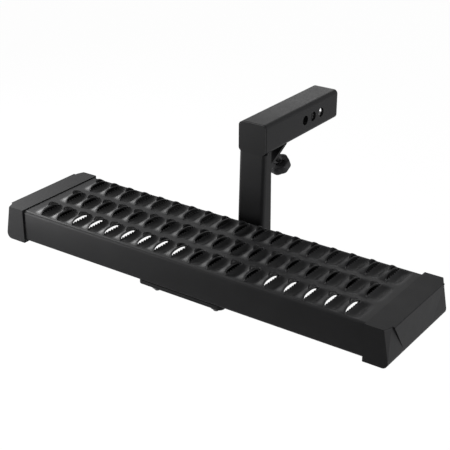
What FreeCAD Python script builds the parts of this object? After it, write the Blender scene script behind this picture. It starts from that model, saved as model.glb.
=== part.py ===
import FreeCAD, Part
import os
import Sketcher

# Hitch receiver step: a serrated tread plank on a mounting plate, carried by a
# drop channel under a square receiver shank, with moulded end caps and a clamp knob.
# Millimetres, +Z up, +Y towards the vehicle, +X along the plank.
# The origin is the centre of the middle pin bore, on the axis of the shank.

os.makedirs("parts", exist_ok=True)
doc = FreeCAD.newDocument("hitch_receiver_step")

# Sizes of the object, in millimetres, each written once.
SIZES = {
    # longer than any cut that goes right through a piece
    "through_cut": 600.0,
    # receiver shank
    "shank_width": 50.8,
    "shank_wall": 4.8,
    "shank_corner_radius": 7.0,
    "shank_rear_reach": 80.4,
    "shank_front_reach": 143.6,
    "pin_bore_radius": 8.1,
    "pin_bore_spacing": 25.4,
    "shank_end_chamfer": 1.2,
    "end_plate_thickness": 4.0,
    "end_plate_groove": 1.5,
    "end_plate_bead_depth": 0.5,
    # where the plank sits below the shank's axis and in front of its end
    "tread_drop": 136.6,
    "plank_rear_gap": 20.0,
    # tread plank
    "plank_length": 690.0,
    "plank_width": 180.0,
    "plank_height": 54.5,
    "plank_gauge": 2.5,
    "plank_bend_radius": 5.0,
    "plank_lip_width": 34.0,
    # grating pressed into the tread
    "tread_end_margin": 13.0,
    "slit_pitch": 33.65,
    "tread_side_margin": 5.5,
    "row_pitch": 60.0,
    "slit_length": 48.0,
    "slit_opening": 5.0,
    "strand_rise": 4.5,
    "strand_dip": 2.0,
    "strand_steps": 8,
    "tooth_height": 2.0,
    "tooth_width": 3.0,
    "end_strand_width": 21.0,
    # end caps
    "cap_sleeve_depth": 24.0,
    "cap_side_wall": 3.0,
    "cap_top_wall": 1.5,
    "cap_bottom_wall": 3.5,
    "cap_body_length": 39.0,
    "cap_end_lean": 4.0,
    "cap_foot_height": 11.0,
    "cap_corner_run": 5.0,
    "cap_corner_cut": 12.0,
    "cap_shoulder": 9.0,
    "cap_end_wall": 3.0,
    "cap_edge_radius": 1.2,
    "cap_bottom_radius": 9.0,
    "cap_panel_margin": 14.0,
    "cap_panel_narrowing": 33.0,
    # cap screws, driven up through the cap and the plank lip
    "cap_screw_radius": 2.1,
    "cap_screw_clearance": 0.05,
    "cap_screw_length": 12.0,
    "cap_screw_head_radius": 4.0,
    "cap_screw_head_height": 2.4,
    "cap_screw_inset": 12.0,
    "cap_screw_edge_distance": 17.0,
    "screw_socket_radius": 1.6,
    "screw_socket_depth": 1.4,
    # mounting plate under the plank
    "base_width": 160.0,
    "base_front_inset": 2.0,
    "base_rear_reach": 58.0,
    "base_rear_width": 90.0,
    "base_thickness": 6.4,
    "base_corner_radius": 8.0,
    # plank bolts
    "bolt_radius": 4.76,
    "bolt_hole_clearance": 0.5,
    "bolt_spacing_x": 114.0,
    "bolt_edge_distance": 22.0,
    "bolt_head_radius": 10.5,
    "bolt_head_height": 5.2,
    "bolt_head_edge": 3.1,
    "bolt_tail": 4.0,
    "bolt_thread_clearance": 0.03,
    "washer_radius": 11.0,
    "washer_thickness": 2.0,
    "nut_across_flats": 14.3,
    "nut_height": 8.2,
    # ribs under the mounting plate
    "rib_thickness": 6.0,
    "rib_spacing": 40.0,
    "rib_front_reach": 110.0,
    "rib_front_height": 9.0,
    "rib_rear_height": 30.0,
    "rib_bead_leg": 4.0,
    "rib_bead_margin": 6.0,
    # drop channel
    "channel_gauge": 5.0,
    "channel_corner_radius": 6.5,
    "channel_front_inset": 0.6,
    "channel_top_depth": 18.4,
    "channel_front_lean": 5.6,
    "channel_foot_depth": 27.0,
    "foot_bead_leg": 5.0,
    "foot_bead_land": 0.3,
    "elbow_bead_height": 4.4,
    "elbow_bead_margin": 3.1,
    # gusset in the corner under the shank
    "gusset_half_width": 22.0,
    "gusset_thickness": 4.5,
    "gusset_drop": 29.2,
    "gusset_run": 52.0,
    "gusset_bead_leg": 4.0,
    "gusset_bead_width": 3.0,
    # clamp knob on the gusset
    "stud_radius": 4.0,
    "stud_tip_depth": 2.5,
    "stud_chamfer": 0.8,
    "stud_hole_clearance": 0.6,
    "stud_thread_clearance": 0.05,
    "stud_seat_clearance": 0.03,
    "stud_embedded": 12.0,
    "knob_hole_distance": 47.7,
    "coupling_flats": 13.0,
    "coupling_length": 20.0,
    "knob_standoff": 36.0,
    "knob_hub_height": 2.0,
    "knob_hub_radius": 7.5,
    "knob_radius": 19.0,
    "knob_thickness": 16.0,
    "knob_lobes": 8,
    "knob_scallop_radius": 5.0,
    "knob_scallop_centre": 21.0,
    "knob_rim_radius": 13.5,
    "knob_hollow_depth": 8.0,
    "knob_edge_cut": 2.0,
    "knob_washer_radius": 8.0,
    "knob_washer_thickness": 1.6,
    "knob_washer_clearance": 0.4,
}

sheet = doc.addObject("Spreadsheet::Sheet", "sizes")
for row, (name, value) in enumerate(SIZES.items(), start=1):
    sheet.set("A%d" % row, name)
    sheet.set("B%d" % row, str(value))
    sheet.setAlias("B%d" % row, name)
doc.recompute()


class Size:
    """A length with its value and the sheet expression that gives it."""

    def __init__(self, value, text):
        self.value = value
        self.text = text

    def joined(self, other, sign, value):
        return Size(value, "(%s %s %s)" % (self.text, sign, sized(other).text))

    def __add__(self, other):
        return self.joined(other, "+", self.value + sized(other).value)

    def __sub__(self, other):
        return self.joined(other, "-", self.value - sized(other).value)

    def __mul__(self, other):
        return self.joined(other, "*", self.value * sized(other).value)

    def __truediv__(self, other):
        return self.joined(other, "/", self.value / sized(other).value)

    def __rmul__(self, other):
        return sized(other) * self

    def __neg__(self):
        return Size(-self.value, "(0 - %s)" % self.text)

    def root(self):
        return Size(self.value ** 0.5, "sqrt(%s)" % self.text)


def sized(value):
    """Any plain number as a Size."""
    return value if isinstance(value, Size) else Size(float(value), repr(float(value)))


def size(name):
    """The named size of the sheet."""
    return Size(float(SIZES[name]), "sizes.%s" % name)


def bind(thing, prop, value):
    """Ties a property of a document object to a size."""
    thing.setExpression(prop, sized(value).text)


# Places that several pieces share.
tread_drop = size("tread_drop")
plank_rear_gap = size("plank_rear_gap")
tread_setback = size("shank_front_reach") + size("end_plate_thickness") + plank_rear_gap
plank_width = size("plank_width")
plank_height = size("plank_height")
gauge = size("plank_gauge")
shank_half = size("shank_width") / 2
plank_half = size("plank_length") / 2
bolt_x = size("bolt_spacing_x") / 2
bolt_front_y = -(plank_width - size("bolt_edge_distance"))
bolt_hole_radius = size("bolt_radius") + size("bolt_hole_clearance")
cap_screw_x = plank_half - size("cap_screw_inset")
cap_screw_front_y = -(plank_width - size("cap_screw_edge_distance"))
cap_screw_hole_radius = size("cap_screw_radius") + size("cap_screw_clearance")
rib_centre = size("rib_spacing") / 2
shank_floor = tread_drop - shank_half
channel_height = shank_floor + plank_height
channel_top_front = plank_rear_gap + size("channel_front_inset")
channel_top_rear = channel_top_front + size("channel_top_depth")
channel_foot_front = channel_top_front - size("channel_front_lean")
channel_foot_rear = channel_foot_front + size("channel_foot_depth")

# The gusset's line: from the drop channel up to the underside of the shank.
gusset_run = size("gusset_run")
gusset_drop = size("gusset_drop")
gusset_slope_length = (gusset_run * gusset_run + gusset_drop * gusset_drop).root()
gusset_rise_share = gusset_drop / gusset_slope_length
gusset_run_share = gusset_run / gusset_slope_length
channel_lean = (channel_foot_rear - channel_top_rear) / channel_height
gusset_foot_y = channel_top_rear + channel_lean * gusset_drop

AT_TREAD = (0, -tread_setback, -tread_drop)
AT_UNDERSIDE = (0, -tread_setback, -shank_half)
AT_KNOB_HOLE = (
    0,
    gusset_foot_y + gusset_run_share * size("knob_hole_distance") - tread_setback,
    gusset_rise_share * size("knob_hole_distance") - gusset_drop - shank_half,
)
AT_SHANK = (0, 0, 0)


def place(thing, at):
    """Gives an object its place, each coordinate tied to its size."""
    for axis, value in zip("xyz", at):
        bind(thing, "Placement.Base." + axis, value)


def new_body(name, at):
    """A new body at its place."""
    body = doc.addObject("PartDesign::Body", name)
    body.Label = name
    place(body, at)
    return body


def lean_to_gusset(body):
    """Turns a body so that its own +Z points away from the gusset's outer face."""
    body.Placement.Rotation = FreeCAD.Rotation(FreeCAD.Vector(1, 0, 0), 200)
    angle = "180 deg + atan(%s)" % (gusset_drop / gusset_run).text
    body.setExpression("Placement.Rotation.Angle", angle)


def new_sketch(body, plane, offset=0):
    """A sketch on one of the body's origin planes, moved off it by an offset."""
    sketch = body.newObject("Sketcher::SketchObject", body.Name + "_outline")
    support = [item for item in body.Origin.OriginFeatures if item.Role == plane]
    sketch.AttachmentSupport = [(support[0], "")]
    sketch.MapMode = "FlatFace"
    bind(sketch, "AttachmentOffset.Base.z", offset)
    return sketch


def hold(sketch, geometry, point, where):
    """Ties a point of a sketch to its two distances from the sketch's origin."""
    for kind, value in zip(("DistanceX", "DistanceY"), where):
        value = sized(value)
        index = sketch.addConstraint(
            Sketcher.Constraint(kind, -1, 1, geometry, point, value.value))
        sketch.setExpression("Constraints[%d]" % index, value.text)


def draw_polygon(sketch, points):
    """A closed outline through the points."""
    corners = [FreeCAD.Vector(sized(x).value, sized(y).value, 0) for x, y in points]
    first = sketch.GeometryCount
    count = len(corners)
    for i in range(count):
        sketch.addGeometry(Part.LineSegment(corners[i], corners[(i + 1) % count]), False)
    for i in range(count):
        following = first + (i + 1) % count
        sketch.addConstraint(Sketcher.Constraint("Coincident", first + i, 2, following, 1))
    for i in range(count):
        hold(sketch, first + i, 1, points[i])


def draw_circle(sketch, centre, radius):
    """A circle held by its centre and radius."""
    middle = FreeCAD.Vector(sized(centre[0]).value, sized(centre[1]).value, 0)
    circle = Part.Circle(middle, FreeCAD.Vector(0, 0, 1), sized(radius).value)
    index = sketch.addGeometry(circle, False)
    hold(sketch, index, 3, centre)
    number = sketch.addConstraint(Sketcher.Constraint("Radius", index, sized(radius).value))
    sketch.setExpression("Constraints[%d]" % number, sized(radius).text)


def draw_box(sketch, left, right, low, high):
    """An upright rectangle."""
    draw_polygon(sketch, [(left, low), (right, low), (right, high), (left, high)])


def draw_hexagon(sketch, flats):
    """A hexagon about the sketch's origin, with two corners on its first axis."""
    corner = flats / sized(3).root()
    half = flats / 2
    draw_polygon(sketch, [
        (corner, 0), (corner / 2, half), (-corner / 2, half),
        (-corner, 0), (-corner / 2, -half), (corner / 2, -half)])


def pad(body, sketch, length, symmetric=False, reversed_way=False):
    """Raises the outline by a length."""
    feature = body.newObject("PartDesign::Pad", body.Name + "_pad")
    feature.Profile = sketch
    feature.SideType = "Symmetric" if symmetric else "One side"
    feature.Reversed = reversed_way
    bind(feature, "Length", length)
    doc.recompute()
    return feature


def pocket(body, sketch, depth, symmetric=False, reversed_way=False):
    """Sinks the outline by a depth, and makes sure that it took material away."""
    before = body.Shape.Volume
    feature = body.newObject("PartDesign::Pocket", body.Name + "_pocket")
    feature.Profile = sketch
    feature.SideType = "Symmetric" if symmetric else "One side"
    feature.Reversed = reversed_way
    bind(feature, "Length", depth)
    doc.recompute()
    if not body.Shape.Volume < before:
        raise ValueError("a pocket of %s cuts nothing" % body.Name)
    return feature


def edges_where(body, test):
    """The names of the body's edges whose box passes the test, in the body's own frame."""
    shape = body.Tip.Shape
    return ["Edge%d" % (i + 1) for i, edge in enumerate(shape.Edges) if test(edge.BoundBox)]


def fillet(body, names, radius):
    """Rounds the named edges."""
    base = body.Tip
    feature = body.newObject("PartDesign::Fillet", body.Name + "_fillet")
    feature.Base = (base, names)
    bind(feature, "Radius", radius)
    body.Tip = feature
    doc.recompute()
    return feature


def chamfer(body, names, cut):
    """Bevels the named edges."""
    base = body.Tip
    feature = body.newObject("PartDesign::Chamfer", body.Name + "_chamfer")
    feature.Base = (base, names)
    bind(feature, "Size", cut)
    body.Tip = feature
    doc.recompute()
    return feature


def near(value, target):
    """True where a coordinate lies at a size."""
    return abs(value - sized(target).value) < 0.01


def along(box, axis):
    """True for an edge that runs straight along one axis."""
    spans = {"x": box.XLength, "y": box.YLength, "z": box.ZLength}
    own = spans.pop(axis)
    return own > 0.1 and max(spans.values()) < 0.01


def mirrored(label, source, normal, base=(0, 0, 0)):
    """The mirror image of an object."""
    image = doc.addObject("Part::Mirroring", label)
    image.Label = label
    image.Source = source
    image.Normal = FreeCAD.Vector(*normal)
    for axis, value in zip("xyz", base):
        bind(image, "Base." + axis, value)
    return image


def gathered(label, pieces):
    """Several solids of one sub-part."""
    group = doc.addObject("Part::Compound", label)
    group.Label = label
    group.Links = pieces
    return group


def pair(label, source):
    """An object and its mirror image in the middle plane of the step."""
    return gathered(label, [source, mirrored(label + "_image", source, (1, 0, 0))])


def four(label, source):
    """The same piece at the four corners about the middle of the plank."""
    couple = pair(label + "_couple", source)
    middle = (0, -(tread_setback + plank_width / 2), 0)
    return gathered(label, [couple, mirrored(label + "_rear", couple, (0, 1, 0), middle)])


# Tread plank: a folded sheet channel, open below, with the grating slit and pressed
# into its top.

def slit_places():
    """The middles of the slits along the plank, as many as fit between the caps."""
    shown = plank_half * 2 - size("cap_sleeve_depth") * 2
    room = shown - (size("tread_end_margin") + size("end_strand_width")) * 2
    count = int((room / size("slit_pitch")).value) + 1
    return [size("slit_pitch") * (i - (count - 1) / 2) for i in range(count)]


def row_places():
    """The middles of the slit rows, as many as fit across the plank."""
    room = plank_width - size("tread_side_margin") * 2 - size("slit_length")
    count = int((room / size("row_pitch")).value) + 1
    middle = -plank_width / 2
    return [middle + size("row_pitch") * (i - (count - 1) / 2) for i in range(count)]


def plank_sheet():
    """The folded sheet with a window for each row of the grating."""
    body = new_body("plank_sheet", AT_TREAD)
    section = new_sketch(body, "YZ_Plane")
    lip = size("plank_lip_width")
    width = plank_width
    inner_floor = gauge - plank_height
    draw_polygon(section, [
        (-width, 0), (0, 0), (0, -plank_height), (-lip, -plank_height),
        (-lip, inner_floor), (-gauge, inner_floor), (-gauge, -gauge),
        (gauge - width, -gauge), (gauge - width, inner_floor),
        (lip - width, inner_floor), (lip - width, -plank_height), (-width, -plank_height)])
    pad(body, section, size("plank_length"), symmetric=True)

    def outer(box):
        side = near(box.YMin, 0) or near(box.YMin, -width)
        return along(box, "x") and side

    def inner(box):
        side = near(box.YMin, -gauge) or near(box.YMin, gauge - width)
        return along(box, "x") and side

    fillet(body, edges_where(body, outer), size("plank_bend_radius"))
    fillet(body, edges_where(body, inner), size("plank_bend_radius") - gauge)

    windows = new_sketch(body, "XY_Plane")
    first = slit_places()[0] - size("end_strand_width")
    half_slit = size("slit_length") / 2
    for y in row_places():
        draw_box(windows, first, -first, y - half_slit, y + half_slit)
    pocket(body, windows, gauge * 1.5)

    holes = new_sketch(body, "XY_Plane", inner_floor)
    for side in (-1, 1):
        for y in (bolt_front_y, -size("bolt_edge_distance")):
            draw_circle(holes, (bolt_x * side, y), bolt_hole_radius)
        for y in (cap_screw_front_y, -size("cap_screw_edge_distance")):
            draw_circle(holes, (cap_screw_x * side, y), cap_screw_hole_radius)
    pocket(body, holes, gauge)
    return body


def triangle(*points):
    """A flat facet through three or more points."""
    return Part.Face(Part.makePolygon(list(points) + [points[0]]))


def edge_points(x, bulge, lift):
    """One long edge of a strand: bowed sideways by its bulge and upwards by its lift."""
    steps = int(SIZES["strand_steps"])
    reach = SIZES["slit_length"] / 2
    points = []
    for i in range(steps + 1):
        share = 2.0 * i / steps - 1.0
        bow = 1.0 - share * share
        points.append(FreeCAD.Vector(x + bulge * bow, reach * share, lift * bow))
    return points


def strand(left_x, left_bow, right_x, right_bow, tooth_height):
    """A strand between two slits; its left edge may carry a row of upright teeth."""
    left = edge_points(left_x, *left_bow)
    right = edge_points(right_x, *right_bow)
    down = FreeCAD.Vector(0, 0, -SIZES["plank_gauge"])
    tooth_width = SIZES["tooth_width"]
    facets = []
    for i in range(len(left) - 1):
        a, b, c, d = left[i], left[i + 1], right[i + 1], right[i]
        if tooth_height:
            middle = (a + b) * 0.5
            tip = middle + FreeCAD.Vector(0, 0, tooth_height)
            slope = (d.z - a.z) / (right_x - left_x)
            heel = middle + FreeCAD.Vector(tooth_width, 0, tooth_width * slope)
            facets += [triangle(a, tip, heel), triangle(tip, b, heel)]
            facets += [triangle(a, heel, d), triangle(b, heel, c), triangle(heel, d, c)]
            facets.append(triangle(a, tip, b, b + down, a + down))
        else:
            facets += [triangle(a, b, c), triangle(a, c, d)]
            facets.append(triangle(a, b, b + down, a + down))
        facets += [triangle(a + down, b + down, c + down), triangle(a + down, c + down, d + down)]
        facets.append(triangle(d, c, c + down, d + down))
    for end in (0, -1):
        a, d = left[end], right[end]
        facets.append(triangle(a, d, d + down, a + down))
    shell = Part.Shell(facets)
    shell.sewShape()
    solid = Part.Solid(shell)
    if solid.Volume < 0:
        solid.reverse()
    return solid


def grating_strands():
    """All the pressed strands: a raised edge on the left of each slit, a toothed one right."""
    pitch = SIZES["slit_pitch"]
    margin = SIZES["end_strand_width"]
    half = SIZES["slit_opening"] / 2
    raised = (-half, SIZES["strand_rise"])
    dipped = (half, -SIZES["strand_dip"])
    tooth = SIZES["tooth_height"]
    flat = (0, 0)
    between = strand(0, dipped, pitch, raised, tooth)
    first = strand(-margin, flat, 0, raised, 0)
    last = strand(0, dipped, margin, flat, tooth)
    xs = [place_x.value for place_x in slit_places()]
    strands = []
    for y in [place_y.value for place_y in row_places()]:
        strands.append(first.translated(FreeCAD.Vector(xs[0], y, 0)))
        for x in xs[:-1]:
            strands.append(between.translated(FreeCAD.Vector(x, y, 0)))
        strands.append(last.translated(FreeCAD.Vector(xs[-1], y, 0)))
    grating = doc.addObject("Part::Feature", "grating_strands")
    grating.Shape = Part.makeCompound(strands)
    place(grating, AT_TREAD)
    return grating


def tread_plank():
    """The folded sheet and its pressed strands as the one piece that they are."""
    plank = doc.addObject("Part::MultiFuse", "tread_plank")
    plank.Label = "tread_plank"
    plank.Refine = False
    plank.Shapes = [plank_sheet(), grating_strands()]
    return plank


# End caps: moulded sleeves over the ends of the plank.

def corner_cut(body, corner_x, corner_y, fall_x, top, low):
    """Cuts a corner of the cap back at its top, less and less towards its foot."""
    run = size("cap_corner_run")
    cut = size("cap_corner_cut")
    side = 1 if corner_y.value > 0 else -1
    slant = (run * run + cut * cut).root()
    section = new_sketch(body, "XZ_Plane")
    section.AttachmentOffset = FreeCAD.Placement(
        FreeCAD.Vector(), FreeCAD.Rotation(FreeCAD.Vector(0, 1, 0), 45))
    section.setExpression("AttachmentOffset.Rotation.Angle",
                          "%d * atan(%s)" % (side, (run / cut).text))
    at_top = (corner_x * cut + corner_y * run * side) / slant
    at_low = at_top + fall_x * cut / slant
    draw_polygon(section, [(at_top, top), (at_low, top), (at_low, low)])
    pocket(body, section, size("through_cut"), symmetric=True)


def end_cap_right():
    """The cap on the right end: its end face leans in above the foot, round an upright panel."""
    body = new_body("end_cap_right", AT_TREAD)
    side = size("cap_side_wall")
    start = plank_half - size("cap_sleeve_depth")
    outer = start + size("cap_body_length")
    leaned = outer - size("cap_end_lean")
    corner = leaned - size("cap_corner_run")
    front = -(plank_width + side)
    floor = -(plank_height + size("cap_bottom_wall"))
    foot = floor + size("cap_foot_height")
    top = size("cap_top_wall")

    plan = new_sketch(body, "XY_Plane", floor)
    draw_box(plan, start, outer, front, side)
    pad(body, plan, top - floor)
    lean = new_sketch(body, "XZ_Plane")
    draw_polygon(lean, [(leaned, top), (outer, top), (outer, foot)])
    pocket(body, lean, size("through_cut"), symmetric=True)
    for y in (front, side):
        corner_cut(body, corner, y, outer - corner, top, foot)
    fillet(body, edges_where(body, lambda box: near(box.ZMax, floor) and near(box.XMin, outer)),
           size("cap_bottom_radius"))

    panel = new_sketch(body, "YZ_Plane", leaned)
    margin = size("cap_panel_margin")
    narrow = size("cap_panel_narrowing")
    draw_polygon(panel, [
        (front + margin, top), (side - margin, top),
        (side - margin - narrow, foot), (front + margin + narrow, foot)])
    pad(body, panel, size("cap_end_lean"))
    fillet(body, edges_where(body, lambda box: near(box.ZMin, top) and box.XMin > start.value + 0.1),
           size("cap_edge_radius"))

    socket = new_sketch(body, "YZ_Plane", start)
    draw_box(socket, -plank_width, 0, -plank_height, 0)
    pocket(body, socket, size("cap_sleeve_depth"), reversed_way=True)

    def socket_corner(box):
        high_or_low = near(box.ZMin, 0) or near(box.ZMin, -plank_height)
        return along(box, "x") and high_or_low and near(box.XMax, plank_half)

    fillet(body, edges_where(body, socket_corner), size("plank_bend_radius"))

    hollow = new_sketch(body, "YZ_Plane", plank_half)
    shoulder = size("cap_shoulder")
    draw_box(hollow, shoulder - plank_width, -shoulder, shoulder - plank_height, -shoulder)
    pocket(body, hollow, leaned - plank_half - size("cap_end_wall"), reversed_way=True)

    holes = new_sketch(body, "XY_Plane", -plank_height)
    for y in (cap_screw_front_y, -size("cap_screw_edge_distance")):
        draw_circle(holes, (cap_screw_x, y), cap_screw_hole_radius)
    pocket(body, holes, size("cap_bottom_wall"))
    return body


def screw_body(name, x, y, under_head, head_radius, head_height, radius, length, edge):
    """A screw or bolt that points up from the underside of its head."""
    body = new_body(name, AT_TREAD)
    head = new_sketch(body, "XY_Plane", under_head - head_height)
    draw_circle(head, (x, y), head_radius)
    pad(body, head, head_height)
    rim = under_head - head_height
    chamfer(body, edges_where(body, lambda box: near(box.ZMax, rim)), edge)
    stem = new_sketch(body, "XY_Plane", under_head)
    draw_circle(stem, (x, y), radius)
    pad(body, stem, length)
    return body


def cap_screws():
    """Pan-head screws with a round recess, two under each cap."""
    under_head = -(plank_height + size("cap_bottom_wall"))
    height = size("cap_screw_head_height")
    y = cap_screw_front_y
    screw = screw_body(
        "cap_screw", cap_screw_x, y, under_head, size("cap_screw_head_radius"), height,
        size("cap_screw_radius"), size("cap_screw_length"), height / 2)
    recess = new_sketch(screw, "XY_Plane", under_head - height)
    draw_circle(recess, (cap_screw_x, y), size("screw_socket_radius"))
    pocket(screw, recess, size("screw_socket_depth"), reversed_way=True)
    return four("cap_screws", screw)


# Mounting plate, ribs and bolts.

base_floor = -(plank_height + size("base_thickness"))


def mounting_plate():
    """The flat plate under the plank, narrowed where it reaches back under the channel."""
    body = new_body("mounting_plate", AT_TREAD)
    half = size("base_width") / 2
    rear_half = size("base_rear_width") / 2
    front = size("base_front_inset") - plank_width
    rear = size("base_rear_reach")
    plan = new_sketch(body, "XY_Plane", base_floor)
    draw_polygon(plan, [
        (-half, front), (half, front), (half, 0), (rear_half, rear),
        (-rear_half, rear), (-half, 0)])
    pad(body, plan, size("base_thickness"))
    fillet(body, edges_where(body, lambda box: along(box, "z")), size("base_corner_radius"))
    holes = new_sketch(body, "XY_Plane", -plank_height)
    for side in (-1, 1):
        for y in (bolt_front_y, -size("bolt_edge_distance")):
            draw_circle(holes, (bolt_x * side, y), bolt_hole_radius)
    pocket(body, holes, size("base_thickness"))
    return body


def plate_rib():
    """The right rib: a flat bar on edge that grows deeper towards the channel."""
    body = new_body("plate_rib_right", AT_TREAD)
    profile = new_sketch(body, "YZ_Plane", rib_centre)
    rear = channel_foot_rear
    front = -size("rib_front_reach")
    draw_polygon(profile, [
        (front, base_floor), (rear, base_floor), (rear, base_floor - size("rib_rear_height")),
        (front, base_floor - size("rib_front_height"))])
    pad(body, profile, size("rib_thickness"), symmetric=True)
    return body


def rib_welds():
    """A fillet weld along the outer side of each rib."""
    body = new_body("rib_weld", AT_TREAD)
    face = rib_centre + size("rib_thickness") / 2
    leg = size("rib_bead_leg")
    margin = size("rib_bead_margin")
    rear = channel_foot_rear - margin
    section = new_sketch(body, "XZ_Plane", -rear)
    draw_polygon(section, [
        (face, base_floor), (face + leg, base_floor), (face, base_floor - leg)])
    pad(body, section, rear + size("rib_front_reach") - margin)
    return pair("rib_welds", body)


def plank_bolts():
    """Bolts with low round heads on the plank lips, pointing down through the plate."""
    lip_top = gauge - plank_height
    length = (gauge + size("base_thickness") + size("washer_thickness")
              + size("nut_height") + size("bolt_tail"))
    body = new_body("plank_bolt", AT_TREAD)
    head = new_sketch(body, "XY_Plane", lip_top)
    draw_circle(head, (bolt_x, bolt_front_y), size("bolt_head_radius"))
    pad(body, head, size("bolt_head_height"))
    crown = lip_top + size("bolt_head_height")
    chamfer(body, edges_where(body, lambda box: near(box.ZMin, crown)), size("bolt_head_edge"))
    stem = new_sketch(body, "XY_Plane", lip_top - length)
    draw_circle(stem, (bolt_x, bolt_front_y), size("bolt_radius"))
    pad(body, stem, length)
    chamfer(body, edges_where(body, lambda box: near(box.ZMax, lip_top - length)),
            size("stud_chamfer"))
    return four("plank_bolts", body)


def plank_washers():
    """Washers between the plate and the nuts."""
    body = new_body("plank_washer", AT_TREAD)
    ring = new_sketch(body, "XY_Plane", base_floor - size("washer_thickness"))
    draw_circle(ring, (bolt_x, bolt_front_y), size("washer_radius"))
    draw_circle(ring, (bolt_x, bolt_front_y), bolt_hole_radius)
    pad(body, ring, size("washer_thickness"))
    return four("plank_washers", body)


def plank_nuts():
    """Hexagon nuts under the plate."""
    top = base_floor - size("washer_thickness")
    body = new_body("plank_nut", (bolt_x, bolt_front_y - tread_setback, top - tread_drop))
    outline = new_sketch(body, "XY_Plane", -size("nut_height"))
    draw_hexagon(outline, size("nut_across_flats"))
    pad(body, outline, size("nut_height"))
    bore = new_sketch(body, "XY_Plane")
    draw_circle(bore, (0, 0), size("bolt_radius") + size("bolt_thread_clearance"))
    pocket(body, bore, size("nut_height"))
    return four("plank_nuts", body)


# Drop channel and the welds at its foot.

def drop_channel():
    """The formed channel that drops from the shank to the plate, open to the rear."""
    body = new_body("drop_channel", AT_UNDERSIDE)
    wall = size("channel_gauge")
    foot = -channel_height
    front_top, front_foot = channel_top_front, channel_foot_front
    rear_top, rear_foot = channel_top_rear, channel_foot_rear
    side = new_sketch(body, "YZ_Plane")
    draw_polygon(side, [(front_top, 0), (rear_top, 0), (rear_foot, foot), (front_foot, foot)])
    pad(body, side, shank_half * 2, symmetric=True)

    def front_edge(box):
        at_side = near(abs(box.XMin), shank_half) and near(abs(box.XMax), shank_half)
        return at_side and box.YMax < front_top.value + 0.1 and box.ZLength > 1

    fillet(body, edges_where(body, front_edge), size("channel_corner_radius"))
    inside = new_sketch(body, "YZ_Plane")
    draw_polygon(inside, [
        (front_top + wall, 0), (rear_top + wall, 0),
        (rear_foot + wall, foot), (front_foot + wall, foot)])
    pocket(body, inside, (shank_half - wall) * 2, symmetric=True)

    def inner_edge(box):
        at_side = near(abs(box.XMin), shank_half - wall)
        return at_side and box.YMax < (front_top + wall).value + 0.1 and box.ZLength > 1

    fillet(body, edges_where(body, inner_edge), size("channel_corner_radius") - wall)
    return body


def foot_weld():
    """The fillet weld round the front and sides of the channel's foot."""
    body = new_body("foot_weld", (0, -tread_setback, -(tread_drop + plank_height)))
    leg = size("foot_bead_leg")
    inner = shank_half
    outer = inner + leg
    front = channel_foot_front
    rear = channel_foot_rear
    plan = new_sketch(body, "XY_Plane")
    draw_polygon(plan, [
        (inner, rear), (outer, rear), (outer, front - leg), (-outer, front - leg),
        (-outer, rear), (-inner, rear), (-inner, front), (inner, front)])
    pad(body, plan, leg)
    radius = size("channel_corner_radius")
    fillet(body, edges_where(
        body, lambda box: along(box, "z") and near(box.YMin, front)), radius)
    fillet(body, edges_where(
        body, lambda box: along(box, "z") and near(box.YMin, front - leg)), radius + leg)

    def crest(box):
        at_outer = near(abs(box.XMin), outer) or near(box.YMin, front - leg)
        return near(box.ZMin, leg) and at_outer and not near(box.YMin, rear)

    chamfer(body, edges_where(body, crest), leg - size("foot_bead_land"))
    return body


# Receiver shank, its end plate and the welds of the elbow.

def square_bar(body, half, radius, start, length):
    """A square bar along Y with rounded long corners."""
    outline = new_sketch(body, "XZ_Plane", -start)
    draw_box(outline, -half, half, -half, half)
    pad(body, outline, length, reversed_way=True)
    long_edges = edges_where(body, lambda box: along(box, "y"))
    fillet(body, long_edges, radius)


def receiver_shank():
    """The square tube that goes into the receiver, with its row of pin bores."""
    body = new_body("receiver_shank", AT_SHANK)
    wall = size("shank_wall")
    start = -size("shank_front_reach")
    length = size("shank_front_reach") + size("shank_rear_reach")
    square_bar(body, shank_half, size("shank_corner_radius"), start, length)
    bore = new_sketch(body, "XZ_Plane", -start)
    inner = shank_half - wall
    draw_box(bore, -inner, inner, -inner, inner)
    pocket(body, bore, length)

    def inner_edge(box):
        return along(box, "y") and near(abs(box.XMin), inner)

    fillet(body, edges_where(body, inner_edge), size("shank_corner_radius") - wall)
    pins = new_sketch(body, "YZ_Plane")
    for place_number in (-1, 0, 1):
        draw_circle(pins, (size("pin_bore_spacing") * place_number, 0), size("pin_bore_radius"))
    pocket(body, pins, size("through_cut"), symmetric=True)
    rear = size("shank_rear_reach")

    def rear_rim(box):
        at_outside = near(abs(box.XMax), shank_half) or near(abs(box.XMin), shank_half)
        at_outside = at_outside or near(box.ZMax, shank_half) or near(box.ZMin, -shank_half)
        return near(box.YMin, rear) and at_outside

    chamfer(body, edges_where(body, rear_rim), size("shank_end_chamfer"))
    return body


def shank_end_plate():
    """The plate that closes the front end of the shank, bevelled for its weld."""
    body = new_body("shank_end_plate", AT_SHANK)
    thickness = size("end_plate_thickness")
    start = -size("shank_front_reach") - thickness
    square_bar(body, shank_half, size("shank_corner_radius"), start, thickness)
    rear = -size("shank_front_reach")
    chamfer(body, edges_where(
        body, lambda box: near(box.YMin, rear) and near(box.YMax, rear)), size("end_plate_groove"))
    return body


def end_plate_weld(end_plate):
    """The bead that fills most of the groove round the end plate."""
    depth = size("end_plate_bead_depth")
    body = new_body("end_plate_bead_stock", AT_SHANK)
    groove = size("end_plate_groove")
    square_bar(body, shank_half - depth, size("shank_corner_radius") - depth,
               -size("shank_front_reach") - groove, groove)
    bead = doc.addObject("Part::Cut", "end_plate_weld")
    bead.Label = "end_plate_weld"
    bead.Base = body
    bead.Tool = end_plate
    return bead


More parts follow.
